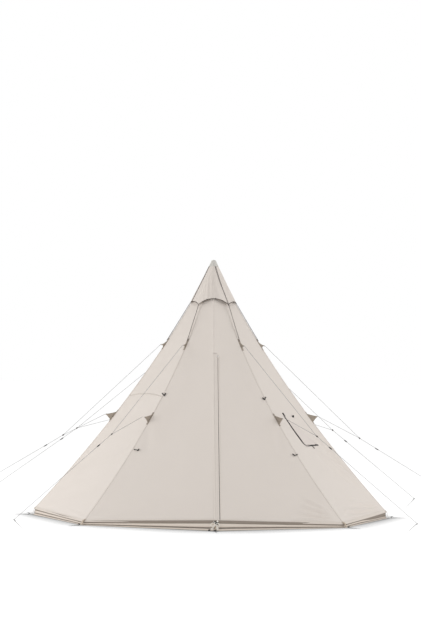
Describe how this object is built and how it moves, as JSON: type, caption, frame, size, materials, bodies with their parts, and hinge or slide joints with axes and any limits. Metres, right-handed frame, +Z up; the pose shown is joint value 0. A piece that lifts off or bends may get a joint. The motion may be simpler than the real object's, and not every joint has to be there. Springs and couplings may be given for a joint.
{
  "type": "tent",
  "caption": "Octagonal cotton pyramid tent on a centre pole, with a zipped front door, window flap, vent cap, guy ropes and pegs.",
  "frame": {"origin": "on the ground under the centre pole, at the middle of the groundsheet's underside", "axes": "+Z up along the pole, -Y towards the door, +X to the right of someone who faces the door"},
  "size_m": [6.2572, 4.6324, 3],
  "materials": {
    "black_plastic": "satin moulded",
    "canvas": "matt woven cotton",
    "groundsheet": "matt coated cloth",
    "mesh": "fine matt net",
    "peg_steel": "satin galvanised",
    "pole_steel": "satin zinc-coated steel",
    "rope": "matt braided cotton",
    "seam_tape": "matt woven cotton",
    "zip": "matt nylon coil and tape"
  },
  "bodies": {
    "tent": {"groundsheet_band": "groundsheet", "groundsheet_floor": "groundsheet", "guy_peg_front_left": "peg_steel", "guy_peg_front_right": "peg_steel", "guy_peg_left": "peg_steel", "guy_peg_rear_left": "peg_steel", "guy_peg_rear_right": "peg_steel", "guy_peg_right": "peg_steel", "guy_rope_front_left": "rope", "guy_rope_front_right": "rope", "guy_rope_left": "rope", "guy_rope_rear_left": "rope", "guy_rope_rear_right": "rope", "guy_rope_right": "rope", "peg_front": "peg_steel", "peg_front_left": "peg_steel", "peg_front_right": "peg_steel", "peg_left": "peg_steel", "peg_rear": "peg_steel", "peg_rear_left": "peg_steel", "peg_rear_right": "peg_steel", "peg_right": "peg_steel", "pole_foot": "black_plastic", "pole_lower": "pole_steel", "pole_middle": "pole_steel", "pole_tip": "black_plastic", "pole_upper": "pole_steel", "ridge_tape_front": "seam_tape", "ridge_tape_front_left": "seam_tape", "ridge_tape_front_right": "seam_tape", "ridge_tape_left": "seam_tape", "ridge_tape_rear": "seam_tape", "ridge_tape_rear_left": "seam_tape", "ridge_tape_rear_right": "seam_tape", "ridge_tape_right": "seam_tape", "vent_cap": "canvas", "vent_mesh": "mesh", "wall_front_left": "canvas", "wall_front_right": "canvas", "wall_left_front": "canvas", "wall_left_rear": "canvas", "wall_rear_left": "canvas", "wall_rear_right": "canvas", "wall_right_front": "canvas", "wall_right_rear": "canvas", "window_mesh": "mesh", "window_zip": "zip"},
    "guy_slider_rear_left": {"guy_slider_rear_left": "black_plastic"},
    "guy_slider_left": {"guy_slider_left": "black_plastic"},
    "guy_slider_front_left": {"guy_slider_front_left": "black_plastic"},
    "guy_slider_front_right": {"guy_slider_front_right": "black_plastic"},
    "guy_slider_right": {"guy_slider_right": "black_plastic"},
    "guy_slider_rear_right": {"guy_slider_rear_right": "black_plastic"},
    "door_left": {"door_left": "canvas", "storm_flap": "canvas", "zip_left": "zip"},
    "door_right": {"door_right": "canvas", "zip_right": "zip"},
    "zip_slider": {"zip_slider": "black_plastic"},
    "window_flap": {"window_flap": "canvas"}
  },
  "joints": [
    {"name": "door_left_swing", "type": "hinge", "parent": "tent", "child": "door_left", "pos_m": [-1.47078, -1.47078, 0.072], "axis": [-0.5821, -0.3551, -0.7314], "range_deg": [0, 95]},
    {"name": "door_right_swing", "type": "hinge", "parent": "tent", "child": "door_right", "pos_m": [1.47078, -1.47078, 0.072], "axis": [-0.5821, 0.3551, 0.7314], "range_deg": [0, 95]},
    {"name": "zip_run", "type": "slide", "parent": "door_left", "child": "zip_slider", "axis": [0, -0.6318, -0.7751], "range_m": [0, 2.259]},
    {"name": "window_flap_lift", "type": "hinge", "parent": "tent", "child": "window_flap", "pos_m": [0.83998, -0.50572, 1.2201], "axis": [-0.7049, -0.3781, 0.6001], "range_deg": [0, 150]},
    {"name": "guy_tension_rear_left", "type": "slide", "parent": "tent", "child": "guy_slider_rear_left", "axis": [-0.7681, 0.3122, -0.5591], "range_m": [-0.2, 0.5]},
    {"name": "guy_tension_left", "type": "slide", "parent": "tent", "child": "guy_slider_left", "axis": [-0.8568, 0.0004, -0.5157], "range_m": [-0.2, 0.5]},
    {"name": "guy_tension_front_left", "type": "slide", "parent": "tent", "child": "guy_slider_front_left", "axis": [-0.6046, -0.6037, -0.5197], "range_m": [-0.2, 0.5]},
    {"name": "guy_tension_front_right", "type": "slide", "parent": "tent", "child": "guy_slider_front_right", "axis": [0.6046, -0.6037, -0.5197], "range_m": [-0.2, 0.5]},
    {"name": "guy_tension_right", "type": "slide", "parent": "tent", "child": "guy_slider_right", "axis": [0.8568, 0.0004, -0.5157], "range_m": [-0.2, 0.5]},
    {"name": "guy_tension_rear_right", "type": "slide", "parent": "tent", "child": "guy_slider_rear_right", "axis": [0.7014, 0.433, -0.5661], "range_m": [-0.2, 0.5]}
  ]
}
